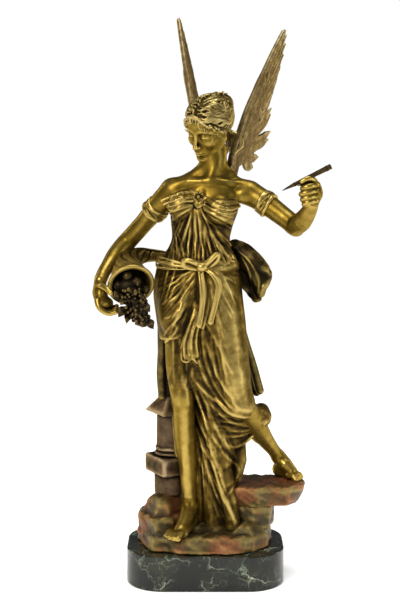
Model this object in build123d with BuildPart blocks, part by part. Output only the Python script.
"""Winged allegorical figure in cast bronze on a marble plinth, as separate castings and fixings.

The frame has its origin at the centre of the felt underside, +Z up, +Y towards the back of the figure
and +X towards her left hand. All sizes are millimetres.
"""

from build123d import *
import os

# Driving dimensions -----------------------------------------------------------------------------
FELT_THICK = 1.5
PLINTH_W, PLINTH_D, PLINTH_H = 184.0, 126.0, 40.0
PLINTH_CORNER = 44.0
STUD_X = 42.0
STUD_R = 3.0
NUT_AF, NUT_H = 10.0, 5.0
WASHER_R, WASHER_H = 9.0, 1.6
RECESS_R, RECESS_DEPTH = 12.0, 12.0
TERRACE_TOP = 60.0
WALL = 3.6
BODY_YAW = -18.0
TENON_R = 4.5
SCREW_R, SCREW_HEAD_R = 2.0, 3.8

plinth_top = FELT_THICK + PLINTH_H
recess_top = FELT_THICK + RECESS_DEPTH
stud_points = [(-STUD_X, 0.0), (STUD_X, 0.0)]
os.makedirs("parts", exist_ok=True)


def save(piece, name):
    """Labels a finished piece and writes it as the node of that name."""
    piece.part.label = name
    export_step(piece.part, f"parts/{name}.step")


def along(points):
    """Planes across a path at its points, each square to the run through its neighbours."""
    vectors = [Vector(*p) for p in points]
    last = len(vectors) - 1
    return [
        Plane(origin=v, z_dir=vectors[min(i + 1, last)] - vectors[max(i - 1, 0)])
        for i, v in enumerate(vectors)
    ]


def round_loft(stations):
    """Solid through round sections, each station being (x, y, z, radius). Runs in the open builder."""
    sections = []
    for plane, station in zip(along([s[:3] for s in stations]), stations):
        with BuildSketch(plane) as section:
            Circle(station[3])
        sections.append(section.sketch.face())
    loft(sections)


def level_loft(levels):
    """Solid through level ellipses (z, x, y, half width, half depth), turned with her chest."""
    sections = []
    for z, x, y, half_width, half_depth in levels:
        with BuildSketch(Plane(origin=(x, y, z)).rotated((0, 0, BODY_YAW))) as section:
            Ellipse(half_width, half_depth)
        sections.append(section.sketch.face())
    loft(sections)


def level_polygons(levels):
    """Ruled solid through level polygons, each (z, corner points)."""
    sections = []
    for z, corners in levels:
        with BuildSketch(Plane.XY.offset(z)) as section:
            with BuildLine():
                Polyline(*corners, close=True)
            make_face()
        sections.append(section.sketch.face())
    loft(sections, ruled=True)


def scaled(corners, factor):
    """The same corners drawn in or out about the frame's axis."""
    return [(x * factor, y * factor) for x, y in corners]


# Marble plinth and what holds it ----------------------------------------------------------------
# A slab with quarter-round corners. Two counterbored holes underneath take the tie studs' nuts.
with BuildPart() as marble_plinth:
    with BuildSketch(Plane.XY.offset(FELT_THICK)):
        RectangleRounded(PLINTH_W, PLINTH_D, PLINTH_CORNER)
    extrude(amount=PLINTH_H)
    chamfer(marble_plinth.faces().sort_by(Axis.Z)[-1].edges(), 0.8)
    with BuildSketch(Plane.XY.offset(FELT_THICK)):
        with Locations(*stud_points):
            Circle(RECESS_R)
    extrude(amount=RECESS_DEPTH, mode=Mode.SUBTRACT)
    with BuildSketch(Plane.XY.offset(FELT_THICK)):
        with Locations(*stud_points):
            Circle(STUD_R + 0.5)
    extrude(amount=PLINTH_H, mode=Mode.SUBTRACT)
save(marble_plinth, "marble_plinth")

with BuildPart() as felt_sheet:
    with BuildSketch():
        RectangleRounded(PLINTH_W - 4, PLINTH_D - 4, PLINTH_CORNER - 2)
    extrude(amount=FELT_THICK)
save(felt_sheet, "felt_sheet")

with BuildPart() as tie_washers:
    with BuildSketch(Plane.XY.offset(recess_top - WASHER_H)):
        with Locations(*stud_points):
            Circle(WASHER_R)
            Circle(STUD_R, mode=Mode.SUBTRACT)
    extrude(amount=WASHER_H)
save(tie_washers, "tie_washers")

with BuildPart() as tie_nuts:
    with BuildSketch(Plane.XY.offset(recess_top - WASHER_H - NUT_H)):
        with Locations(*stud_points):
            RegularPolygon(NUT_AF / 2, 6, major_radius=False)
            Circle(STUD_R, mode=Mode.SUBTRACT)
    extrude(amount=NUT_H)
save(tie_nuts, "tie_nuts")

stud_bottom = recess_top - WASHER_H - NUT_H - 2.5
stud_top = plinth_top + 12.0
with BuildPart() as tie_studs:
    with BuildSketch(Plane.XY.offset(stud_bottom)):
        with Locations(*stud_points):
            Circle(STUD_R)
    extrude(amount=stud_top - stud_bottom)
save(tie_studs, "tie_studs")

# Rock terrace -----------------------------------------------------------------------------------
# A hollow casting open underneath: a low front ledge, a boulder on her right, bosses for the studs.
ledge = [
    (-78, -14), (-62, -42), (-28, -55), (28, -56), (58, -46), (74, -22),
    (80, 12), (62, 46), (6, 54), (-56, 48), (-79, 18),
]
boulder_foot = [(-77, -6), (-56, -34), (-34, -30), (-14, 6), (-14, 44), (-56, 45), (-76, 24)]
boulder_brow = [(-79, 4), (-60, -26), (-40, -22), (-18, 8), (-18, 42), (-54, 44), (-78, 22)]
boulder_crest = [(-66, 10), (-56, -6), (-44, -6), (-20, 12), (-20, 40), (-54, 42), (-66, 30)]
BOULDER_BROW_Z, BOULDER_TOP = 76.0, 96.0
LEDGE_BULGE_H, LEDGE_BULGE, LEDGE_CREST, LEDGE_HOLLOW = 9.0, 1.02, 0.97, 0.88
STUD_BOSS_WALL = 4.0
figure_screw_points = [(14.0, -2.0), (30.0, -2.0)]
terrace_ceiling = TERRACE_TOP - WALL
PILLAR_X, PILLAR_Y = -40.0, 24.0
BOLT_R = 2.5
STEP_SCREW_X, STEP_SCREW_Y = 58.0, 12.0
RIGHT_DOWEL, LEFT_DOWEL = (-19.0, -14.0), (96.0, 24.0)
DOWEL_R = 1.6
with BuildPart() as rock_terrace:
    level_polygons([
        (plinth_top, ledge),
        (plinth_top + LEDGE_BULGE_H, scaled(ledge, LEDGE_BULGE)),
        (TERRACE_TOP, scaled(ledge, LEDGE_CREST)),
    ])
    level_polygons([
        (TERRACE_TOP - 8, boulder_foot),
        (BOULDER_BROW_Z, boulder_brow),
        (BOULDER_TOP, boulder_crest),
    ])
    with BuildSketch(Plane.XY.offset(plinth_top)):
        with BuildLine():
            Polyline(*scaled(ledge, LEDGE_HOLLOW), close=True)
        make_face()
    extrude(amount=terrace_ceiling - plinth_top, mode=Mode.SUBTRACT)
    with BuildSketch(Plane.XY.offset(plinth_top)):
        with Locations(*stud_points):
            Circle(STUD_R + STUD_BOSS_WALL)
    extrude(amount=TERRACE_TOP - 1 - plinth_top)
    with BuildSketch(Plane.XY.offset(plinth_top)):
        with Locations(*stud_points):
            Circle(STUD_R)
    extrude(amount=stud_top - plinth_top, mode=Mode.SUBTRACT)
    with BuildSketch(Plane.XY.offset(plinth_top)):
        with Locations(*figure_screw_points):
            Circle(SCREW_R)
    extrude(amount=TERRACE_TOP + 1 - plinth_top, mode=Mode.SUBTRACT)
    with BuildSketch(Plane.XY.offset(plinth_top)):
        with Locations((PILLAR_X, PILLAR_Y), (STEP_SCREW_X, STEP_SCREW_Y)):
            Circle(BOLT_R)
    extrude(amount=BOULDER_TOP + 1 - plinth_top, mode=Mode.SUBTRACT)
    with BuildSketch(Plane.XY.offset(terrace_ceiling)):
        with Locations(RIGHT_DOWEL):
            Circle(DOWEL_R)
    extrude(amount=WALL + 1, mode=Mode.SUBTRACT)
save(rock_terrace, "rock_terrace")

# Step rock under her left foot ------------------------------------------------------------------
# A block on the terrace and an overhanging slab on the block, each with broken edges.
SLAB_BOTTOM, SLAB_TOP = 88.0, 112.0
block_outline = [(37, -8), (56, -14), (74, -8), (77, 14), (66, 38), (42, 36)]
slab_outline = [(33, -16), (62, -24), (98, -20), (116, -6), (117, 18), (98, 36), (60, 42), (34, 30)]
slab_middle = (72.0, 8.0)
step_screw_top = SLAB_TOP - 8.0
BOLT_HEAD_R, BOLT_HEAD_H = 5.0, 3.6
DOWEL_DEPTH = 6.0


def drawn_in(corners, centre, factor):
    """The same corners drawn in about a centre."""
    return [(centre[0] + (x - centre[0]) * factor, centre[1] + (y - centre[1]) * factor) for x, y in corners]


with BuildPart() as step_block:
    level_polygons([(TERRACE_TOP, block_outline), (SLAB_BOTTOM, drawn_in(block_outline, (57, 12), 1.03))])
    with BuildSketch(Plane.XY.offset(TERRACE_TOP)):
        with Locations((STEP_SCREW_X, STEP_SCREW_Y)):
            Circle(BOLT_R)
    extrude(amount=SLAB_BOTTOM - TERRACE_TOP, mode=Mode.SUBTRACT)
save(step_block, "step_block")

with BuildPart() as step_slab:
    level_polygons([
        (SLAB_BOTTOM, drawn_in(slab_outline, slab_middle, 0.82)),
        (SLAB_BOTTOM + 10, slab_outline),
        (SLAB_TOP - 5, drawn_in(slab_outline, slab_middle, 1.02)),
        (SLAB_TOP, drawn_in(slab_outline, slab_middle, 0.94)),
    ])
    with BuildSketch(Plane.XY.offset(SLAB_BOTTOM)):
        with Locations((STEP_SCREW_X, STEP_SCREW_Y)):
            Circle(BOLT_R)
    extrude(amount=step_screw_top - SLAB_BOTTOM, mode=Mode.SUBTRACT)
    with BuildSketch(Plane.XY.offset(SLAB_TOP - DOWEL_DEPTH)):
        with Locations(LEFT_DOWEL):
            Circle(DOWEL_R)
    extrude(amount=DOWEL_DEPTH, mode=Mode.SUBTRACT)
save(step_slab, "step_slab")

with BuildPart() as step_screw:
    with BuildSketch(Plane.XY.offset(terrace_ceiling)):
        with Locations((STEP_SCREW_X, STEP_SCREW_Y)):
            Circle(BOLT_R)
    extrude(amount=step_screw_top - terrace_ceiling)
    with BuildSketch(Plane.XY.offset(terrace_ceiling - BOLT_HEAD_H)):
        with Locations((STEP_SCREW_X, STEP_SCREW_Y)):
            Circle(BOLT_HEAD_R)
    extrude(amount=BOLT_HEAD_H)
save(step_screw, "step_screw")

# Broken pillar behind her right leg ---------------------------------------------------------------
# Drum, square base slab, shaft with a bead and a pointed cap slab, threaded on one long bolt.
PILLAR_TURN = 30.0
DRUM_R, SHAFT_R, BEAD_R = 22.5, 18.5, 2.6
DRUM_TOP, BASE_TOP, SHAFT_TOP, CAP_TOP = 120.0, 141.0, 194.0, 211.0
BASE_SIDE, CAP_SIDE, CAP_POINT_SIDE = 49.0, 48.0, 21.6
CAP_BORE_DEPTH = 8.0


def pillar_plane(z):
    """Level plane at height z on the pillar's axis, turned with its square slabs."""
    return Plane(origin=(PILLAR_X, PILLAR_Y, z)).rotated((0, 0, PILLAR_TURN))


with BuildPart() as pillar_drum:
    with BuildSketch(pillar_plane(BOULDER_TOP)):
        Circle(DRUM_R)
        Circle(BOLT_R, mode=Mode.SUBTRACT)
    extrude(amount=DRUM_TOP - BOULDER_TOP)
save(pillar_drum, "pillar_drum")

with BuildPart() as pillar_base:
    with BuildSketch(pillar_plane(DRUM_TOP)):
        Rectangle(BASE_SIDE, BASE_SIDE)
    extrude(amount=BASE_TOP - DRUM_TOP)
    fillet(pillar_base.edges().filter_by(Axis.Z), 6)
    chamfer(pillar_base.faces().sort_by(Axis.Z)[0].edges(), 4)
    chamfer(pillar_base.faces().sort_by(Axis.Z)[-1].edges(), 2)
    with BuildSketch(pillar_plane(DRUM_TOP)):
        Circle(BOLT_R)
    extrude(amount=BASE_TOP - DRUM_TOP, mode=Mode.SUBTRACT)
save(pillar_base, "pillar_base")

with BuildPart() as pillar_shaft:
    with BuildSketch(pillar_plane(BASE_TOP)):
        Circle(SHAFT_R)
    extrude(amount=SHAFT_TOP - BASE_TOP)
    with Locations((PILLAR_X, PILLAR_Y, BASE_TOP + BEAD_R)):
        Torus(SHAFT_R, BEAD_R)
    with BuildSketch(pillar_plane(BASE_TOP)):
        Circle(BOLT_R)
    extrude(amount=SHAFT_TOP - BASE_TOP, mode=Mode.SUBTRACT)
save(pillar_shaft, "pillar_shaft")

with BuildPart() as pillar_cap:
    with BuildSketch(pillar_plane(SHAFT_TOP)):
        Rectangle(CAP_SIDE, CAP_SIDE)
    with BuildSketch(pillar_plane(CAP_TOP)):
        Rectangle(CAP_POINT_SIDE, CAP_POINT_SIDE)
    loft()
    with BuildSketch(pillar_plane(SHAFT_TOP)):
        Circle(BOLT_R)
    extrude(amount=CAP_BORE_DEPTH, mode=Mode.SUBTRACT)
save(pillar_cap, "pillar_cap")

with BuildPart() as pillar_bolt:
    with BuildSketch(pillar_plane(terrace_ceiling)):
        Circle(BOLT_R)
    extrude(amount=SHAFT_TOP + CAP_BORE_DEPTH - 1 - terrace_ceiling)
    with BuildSketch(pillar_plane(terrace_ceiling - BOLT_HEAD_H)):
        Circle(BOLT_HEAD_R)
    extrude(amount=BOLT_HEAD_H)
save(pillar_bolt, "pillar_bolt")

# Figure: envelopes shared by several castings -----------------------------------------------------
# Level ellipses (z, centre x, centre y, half width, half depth) down the draped body.
skirt_levels = [
    (398.0, -5, 3, 33, 24), (384.0, -7, 2, 42, 30), (365.0, -8, 2, 49, 35), (345.0, -8, 2, 50, 38),
    (315.0, -6, 0, 50, 40), (280.0, -3, -2, 52, 42), (250.0, 3, -4, 53, 44), (222.0, 16, -6, 54, 44),
    (196.0, 26, -5, 51, 40), (172.0, 24, -3, 43, 36), (150.0, 18, -1, 33, 32), (120.0, 17, -2, 27, 29),
    (90.0, 17, -4, 22, 27), (TERRACE_TOP, 20, -4, 22, 26),
]
torso_levels = [
    (398.0, -5, 3, 33, 24), (415.0, -3, 3, 35, 26), (432.0, 0, 2, 42, 31), (448.0, 3, 4, 43, 28),
    (460.0, 5, 6, 42, 22), (470.0, 7, 6, 30, 17), (478.0, 8, 5, 16, 14),
]
SKIRT_SEAM = skirt_levels[0][0]
NECK_SEAM = torso_levels[-1][0]

with BuildPart() as skirt_envelope:
    level_loft(skirt_levels)

with BuildPart() as torso_envelope:
    level_loft(torso_levels)

TIP_SWELL = 1.03


def rounded_tip(station):
    """Adds a ball that rounds off the end of a round loft at one station (x, y, z, radius)."""
    with Locations(station[:3]):
        Sphere(station[3] * TIP_SWELL)


# Legs ---------------------------------------------------------------------------------------------
# Bare shin and foot cast together. The right foot is planted in front, the left is up on the slab.
GROUND_BLOCK = (120.0, 120.0, 40.0)
right_shin = [(-20, -15, 222, 13.5), (-21, -17, 203, 13), (-21, -14, 180, 12), (-20, -11, 155, 12.5),
              (-19, -10, 125, 9.5), (-18, -9, 98, 7.4), (-18, -8, 82, 8.5)]
right_foot = [
    (-17, 2, 69, 7.5), (-19, -12, 72, 10.5), (-24, -30, 70, 9), (-29, -44, 67, 7), (-33, -56, 65, 5),
]
left_shin = [
    (50, -22, 200, 12.5), (58, -9, 186, 12), (66, 4, 170, 10), (76, 17, 154, 8), (87, 27, 138, 7),
]
left_foot = [
    (86, 37, 121, 7), (91, 30, 124, 9), (99, 22, 121, 8.5), (107, 14, 118.5, 6.5), (113, 8, 116.5, 4.6),
]


def leg(shin, foot, ground):
    """Adds shin and foot to the open builder and takes away what would be below the ground."""
    round_loft(shin)
    round_loft(foot)
    rounded_tip(foot[-1])
    rounded_tip(foot[0])
    with Locations((*foot[1][:2], ground)):
        Box(*GROUND_BLOCK, align=(Align.CENTER, Align.CENTER, Align.MAX), mode=Mode.SUBTRACT)


with BuildPart() as foot_dowels:
    with BuildSketch(Plane.XY.offset(terrace_ceiling)):
        with Locations(RIGHT_DOWEL):
            Circle(DOWEL_R)
    extrude(amount=WALL + DOWEL_DEPTH)
    with BuildSketch(Plane.XY.offset(SLAB_TOP - DOWEL_DEPTH)):
        with Locations(LEFT_DOWEL):
            Circle(DOWEL_R)
    extrude(amount=WALL + DOWEL_DEPTH)
save(foot_dowels, "foot_dowels")

with BuildPart() as right_leg:
    leg(right_shin, right_foot, TERRACE_TOP)
    add([rock_terrace.part, foot_dowels.part], mode=Mode.SUBTRACT)
save(right_leg, "right_leg")

with BuildPart() as left_leg:
    leg(left_shin, left_foot, SLAB_TOP)
    add(foot_dowels.part, mode=Mode.SUBTRACT)
save(left_leg, "left_leg")

# Skirt --------------------------------------------------------------------------------------------
# Hollow casting from waist seam to ground. Two screws come up into its foot from under the terrace.
def shrunk(levels, wall):
    """The same level ellipses drawn in by a wall thickness."""
    return [(z, x, y, half_width - wall, half_depth - wall) for z, x, y, half_width, half_depth in levels]


FOOT_BLOCK = 34.0
figure_screw_top = TERRACE_TOP + 22.0
hollow_levels = shrunk([level for level in skirt_levels if level[0] > TERRACE_TOP + FOOT_BLOCK], WALL)
with BuildPart() as skirt_hollow:
    level_loft([(SKIRT_SEAM + 1, *hollow_levels[0][1:])] + hollow_levels[1:])

with BuildPart() as skirt_casting:
    add(skirt_envelope.part)
    add(skirt_hollow.part, mode=Mode.SUBTRACT)
    add([right_leg.part, left_leg.part], mode=Mode.SUBTRACT)
    add([pillar_shaft.part, pillar_base.part, pillar_cap.part], mode=Mode.SUBTRACT)
    add([step_slab.part, step_block.part, rock_terrace.part], mode=Mode.SUBTRACT)
    with BuildSketch(Plane.XY.offset(TERRACE_TOP)):
        with Locations(*figure_screw_points):
            Circle(SCREW_R)
    extrude(amount=figure_screw_top - TERRACE_TOP, mode=Mode.SUBTRACT)
save(skirt_casting, "skirt_casting")

screw_head_bottom = plinth_top + 6.0
with BuildPart() as figure_screws:
    with BuildSketch(Plane.XY.offset(screw_head_bottom)):
        with Locations(*figure_screw_points):
            Circle(SCREW_R)
    extrude(amount=figure_screw_top - screw_head_bottom)
    with BuildSketch(Plane.XY.offset(screw_head_bottom)):
        with Locations(*figure_screw_points):
            Circle(SCREW_HEAD_R)
    extrude(amount=terrace_ceiling - screw_head_bottom)
save(figure_screws, "figure_screws")

# Horn of plenty -------------------------------------------------------------------------------------
# A curved horn under her right arm: tail behind the hip, open mouth in front with fruit spilling out.
horn_stations = [
    (-35, 41, 376, 4), (-46, 43, 377, 6.5), (-62, 42, 378, 8.2), (-77, 36, 378, 11), (-87, 24, 374, 14),
    (-90, 9, 367, 18), (-88, -7, 358, 22), (-85, -22, 350, 25.5),
]
HORN_WALL = 2.4
mouth_stations = [(x, y, z, r - HORN_WALL) for x, y, z, r in horn_stations[-4:]]
fruit_stations = [
    (-88, -4, 360, 12), (-87, -20, 350, 20), (-84, -30, 338, 18), (-79, -33, 326, 13), (-68, -32, 312, 6),
]


with BuildPart() as horn_hollow:
    round_loft(mouth_stations)

with BuildPart() as horn:
    round_loft(horn_stations)
    rounded_tip(horn_stations[0])
    add([horn_hollow.part, skirt_envelope.part], mode=Mode.SUBTRACT)
save(horn, "horn")

with BuildPart() as fruit_cluster:
    round_loft(fruit_stations)
    rounded_tip(fruit_stations[-1])
    add([horn.part, skirt_envelope.part], mode=Mode.SUBTRACT)
save(fruit_cluster, "fruit_cluster")

# Arms -----------------------------------------------------------------------------------------------
# Each arm is cast with its hand and ends in a tenon that goes through the torso's wall.
right_arm_stations = [
    (-42, 10, 453, 14.5), (-53, 15, 441, 13.8), (-70, 26, 421, 12), (-92, 36, 396, 11),
    (-104, 27, 382, 11.2), (-114, 12, 368, 9.4), (-120, -1, 355, 7), (-122, -10, 346, 9),
]
right_hand_stations = [(-121, -6, 350, 7.5), (-123, -15, 340, 8.5), (-120, -21, 330, 8), (-112, -25, 324, 6)]
left_arm_stations = [
    (49, -3, 457, 14.2), (60, -8, 450, 13.6), (80, -18, 435, 12), (99, -30, 420, 11.2),
    (107, -47, 427, 11.5), (113, -60, 437, 9.4), (117, -71, 447, 7),
]
left_hand_stations = [(116, -69, 446, 7), (119, -77, 456, 9.5), (119, -81, 466, 10), (114, -84, 473, 7)]
right_tenon_run = [(-22, 4, 448), (-46, 11, 454)]
left_tenon_run = [(30, 1, 451), (52, -4, 457)]
PIN_R, PIN_LENGTH = 1.2, 20.0


def rod(start, end, radius):
    """Adds a straight round bar between two points to the open builder."""
    direction = Vector(*end) - Vector(*start)
    with BuildSketch(Plane(origin=start, z_dir=direction)) as section:
        Circle(radius)
    extrude(section.sketch, amount=direction.length)


with BuildPart() as right_tenon:
    rod(*right_tenon_run, TENON_R)

with BuildPart() as left_tenon:
    rod(*left_tenon_run, TENON_R)

with BuildPart() as stylus:
    stylus_tip, stylus_end = Vector(83, -86, 462), Vector(136, -88, 488.5)
    point_length, barrel_r, end_r = 14.0, 2.2, 3.2
    stylus_run = (stylus_end - stylus_tip).normalized()
    with BuildSketch(Plane(origin=stylus_tip, z_dir=stylus_run)) as tip_section:
        Circle(0.5)
    barrel_start = stylus_tip + stylus_run * point_length
    with BuildSketch(Plane(origin=barrel_start, z_dir=stylus_run)) as barrel_section:
        Circle(barrel_r)
    with BuildSketch(Plane(origin=stylus_end, z_dir=stylus_run)) as end_section:
        Circle(end_r)
    stylus_sections = [tip_section, barrel_section, end_section]
    loft([section.sketch.face() for section in stylus_sections], ruled=True)
save(stylus, "stylus")

# Neck tenon and the three identical pins that lock the neck's and the arms' tenons.
NECK_TENON_R, NECK_TENON_LENGTH = 7.0, 14.0
NECK_X, NECK_Y = 8.0, 5.0
pin_centres = [(-36, -10, 451), (42, -16, 454), (NECK_X, -5, NECK_SEAM - 7)]
with BuildPart() as neck_tenon:
    with BuildSketch(Plane(origin=(NECK_X, NECK_Y, NECK_SEAM - NECK_TENON_LENGTH))):
        Circle(NECK_TENON_R)
    extrude(amount=NECK_TENON_LENGTH)

with BuildPart() as tenon_pins:
    for x, y, z in pin_centres:
        rod((x, y, z), (x, y + PIN_LENGTH, z), PIN_R)
save(tenon_pins, "tenon_pins")

with BuildPart() as right_arm:
    round_loft(right_arm_stations)
    round_loft(right_hand_stations)
    rounded_tip(right_arm_stations[0])
    rounded_tip(right_hand_stations[-1])
    add([torso_envelope.part, skirt_envelope.part, horn.part], mode=Mode.SUBTRACT)
    add([horn_hollow.part, fruit_cluster.part], mode=Mode.SUBTRACT)
    add(right_tenon.part)
    add(tenon_pins.part, mode=Mode.SUBTRACT)
save(right_arm, "right_arm")

with BuildPart() as left_arm:
    round_loft(left_arm_stations)
    round_loft(left_hand_stations)
    rounded_tip(left_arm_stations[0])
    rounded_tip(left_hand_stations[-1])
    add([torso_envelope.part, stylus.part], mode=Mode.SUBTRACT)
    add(left_tenon.part)
    add(tenon_pins.part, mode=Mode.SUBTRACT)
save(left_arm, "left_arm")

# Wings ------------------------------------------------------------------------------------------------
# Each wing is one flat casting with a root lug let into the shoulder blade and two screws through it.
WING_THICK, COVERT_THICK = 3.4, 7.0
LUG_R, WING_SCREW_R, WING_SCREW_LENGTH = 6.5, 1.7, 14.0
wing_outline = [
    (-16, -4), (2, -18), (30, -22), (58, -23), (92, -17), (136, -9), (172, 0), (171, 10), (150, 24),
    (115, 30), (70, 26), (77, 54), (62, 47), (54, 71), (38, 58), (30, 66), (14, 54), (-2, 52), (-16, 18),
]
covert_outline = [
    (-14, -3), (2, -16), (30, -20), (62, -20), (104, -12), (70, 8), (50, 20), (20, 30), (-12, 18),
]
OUTLINE_SPAN = 173.0


def wing_blank(root, tip, chord):
    """Adds a wing between root and tip whose feathers run back along the chord direction. The outlines
    are drawn for a root to tip distance of OUTLINE_SPAN and stretch along it with the wing's own."""
    span = Vector(*tip) - Vector(*root)
    blade = Plane(origin=root, x_dir=span, z_dir=span.cross(Vector(*chord)))
    for corners, thick in ((wing_outline, WING_THICK), (covert_outline, COVERT_THICK)):
        stretched = [(along_span * span.length / OUTLINE_SPAN, across) for along_span, across in corners]
        with BuildSketch(blade.offset(-thick / 2)) as outline:
            with BuildLine():
                Polyline(*stretched, close=True)
            make_face()
        extrude(outline.sketch, amount=thick)


left_root, left_tip, left_chord = (36, 36, 486), (94, 78, 645), (0.45, 0.89, 0)
right_root, right_tip, right_chord = (1, 48, 486), (-33, 113, 661), (0.16, 0.98, 0)
left_lug_end, right_lug_end = (20, 20, 452), (1, 24, 452)
back_dir = Vector(0.309, 0.951, 0)

with BuildPart() as wing_screws:
    for x, y, z in (left_lug_end, right_lug_end):
        start = Vector(x, y, z) + back_dir * -3
        rod(start, start + back_dir * WING_SCREW_LENGTH, WING_SCREW_R)
save(wing_screws, "wing_screws")

with BuildPart() as left_wing:
    wing_blank(left_root, left_tip, left_chord)
    rod(left_root, left_lug_end, LUG_R)
    add([torso_envelope.part, wing_screws.part], mode=Mode.SUBTRACT)
save(left_wing, "left_wing")

with BuildPart() as right_wing:
    wing_blank(right_root, right_tip, right_chord)
    rod(right_root, right_lug_end, LUG_R)
    add([torso_envelope.part, wing_screws.part], mode=Mode.SUBTRACT)
save(right_wing, "right_wing")

# Torso, neck and head -----------------------------------------------------------------------------------
# The torso is hollow. A collar under it drops into the skirt, and the neck's tenon drops into its top.
COLLAR_DEPTH, COLLAR_WALL = 8.0, 2.4
waist_x, waist_y, waist_a, waist_b = skirt_levels[0][1:]
TORSO_EXTRA_WALL = 1.4
neck_stations = [(8, 5, 478, 14.6), (8, 3, 490, 13.2), (7, 0, 504, 13)]
head_levels = [
    (496.5, -7, -22, 5, 5), (502, -3, -17, 12, 13), (514, 1, -10, 20, 23), (530, 4, -4, 26, 30),
    (546, 6, 1, 28, 32), (558, 8, 4, 25, 27), (566, 10, 6, 15, 16), (569, 11, 6, 6, 6),
]
hair_knot = (24, 22, 552, 13)

with BuildPart() as collar:
    with BuildSketch(Plane(origin=(waist_x, waist_y, SKIRT_SEAM - COLLAR_DEPTH)).rotated((0, 0, BODY_YAW))):
        Ellipse(waist_a - WALL, waist_b - WALL)
        Ellipse(waist_a - WALL - COLLAR_WALL, waist_b - WALL - COLLAR_WALL, mode=Mode.SUBTRACT)
    extrude(amount=COLLAR_DEPTH + WALL)

with BuildPart() as torso_hollow:
    level_loft(shrunk(torso_levels[:5], WALL + TORSO_EXTRA_WALL))

with BuildPart() as torso_casting:
    add(torso_envelope.part)
    add(torso_hollow.part, mode=Mode.SUBTRACT)
    add(collar.part)
    add([right_tenon.part, left_tenon.part, neck_tenon.part], mode=Mode.SUBTRACT)
    add([skirt_casting.part, tenon_pins.part, wing_screws.part], mode=Mode.SUBTRACT)
save(torso_casting, "torso_casting")

with BuildPart() as head_casting:
    level_loft(head_levels)
    round_loft(neck_stations)
    rounded_tip(hair_knot)
    add([torso_envelope.part, left_wing.part, right_wing.part], mode=Mode.SUBTRACT)
    add(neck_tenon.part)
    add(tenon_pins.part, mode=Mode.SUBTRACT)
save(head_casting, "head_casting")

# Draped pieces brazed on --------------------------------------------------------------------------------
# Each lies against the castings under it, which are taken away from its inner side.
figure_castings = [skirt_casting.part, skirt_hollow.part, torso_envelope.part, right_arm.part, left_arm.part]

with BuildPart() as waist_sash:
    level_loft([(380, -7, 2, 48.5, 35), (372, -8, 2, 51, 37), (362, -8, 2, 52.5, 39)])
    add(figure_castings + [horn.part], mode=Mode.SUBTRACT)
save(waist_sash, "waist_sash")

with BuildPart() as sash_ribbons:
    round_loft([(-6, -33, 371, 9), (-4, -37, 358, 6), (-3, -41, 335, 5), (-3, -43, 308, 4.6)])
    rounded_tip((-6, -33, 371, 9))
    round_loft([(2, -34, 369, 7), (12, -37, 350, 5.6), (10, -41, 332, 5), (6, -43, 316, 4.4)])
    add(figure_castings + [waist_sash.part], mode=Mode.SUBTRACT)
save(sash_ribbons, "sash_ribbons")

slanting_hem = Plane(origin=(-14, 0, 300), z_dir=(0.35, 0.1, -1))
HEM_BLOCK = (220.0, 220.0, 60.0)
with BuildPart() as overskirt:
    level_loft([
        (361, -8, 2, 53, 39), (345, -8, 2, 53.5, 41), (315, -6, 0, 53.5, 43.5), (292, -4, -1, 54.5, 44.5),
    ])
    with Locations(slanting_hem):
        Box(*HEM_BLOCK, align=(Align.CENTER, Align.CENTER, Align.MIN), mode=Mode.SUBTRACT)
    add(figure_castings + [waist_sash.part, sash_ribbons.part], mode=Mode.SUBTRACT)
    add([horn.part, fruit_cluster.part], mode=Mode.SUBTRACT)
save(overskirt, "overskirt")

with BuildPart() as brooch:
    rounded_tip((-8.5, -30, 452, 6.5))
    add([torso_envelope.part], mode=Mode.SUBTRACT)
save(brooch, "brooch")

with BuildPart() as neckline_band:
    round_loft([
        (-41, -1, 455, 4), (-30, -19, 454, 4.6), (-9, -26, 452, 5), (18, -26, 457, 4.6), (44, -15, 459, 4),
    ])
    add([torso_envelope.part, right_arm.part, left_arm.part], mode=Mode.SUBTRACT)
    add([brooch.part, tenon_pins.part], mode=Mode.SUBTRACT)
save(neckline_band, "neckline_band")

with BuildPart() as cloak_tail:
    round_loft([(28, 14, 392, 6), (46, 20, 376, 8), (60, 20, 356, 9), (62, 14, 334, 5)])
    rounded_tip((62, 14, 334, 5))
    add(figure_castings + [waist_sash.part, overskirt.part], mode=Mode.SUBTRACT)
save(cloak_tail, "cloak_tail")

with BuildPart() as back_drape_left:
    round_loft([
        (-44, 26, 352, 8), (-49, 28, 320, 10), (-52, 30, 270, 11), (-54, 32, 230, 9), (-56, 32, 212, 6),
    ])
    add(figure_castings + [overskirt.part, pillar_cap.part, horn.part], mode=Mode.SUBTRACT)
save(back_drape_left, "back_drape_left")

with BuildPart() as back_drape_right:
    round_loft([(40, 22, 306, 8), (48, 26, 264, 9), (62, 26, 222, 7)])
    rounded_tip((62, 26, 222, 7))
    add(figure_castings + [overskirt.part], mode=Mode.SUBTRACT)
save(back_drape_right, "back_drape_right")
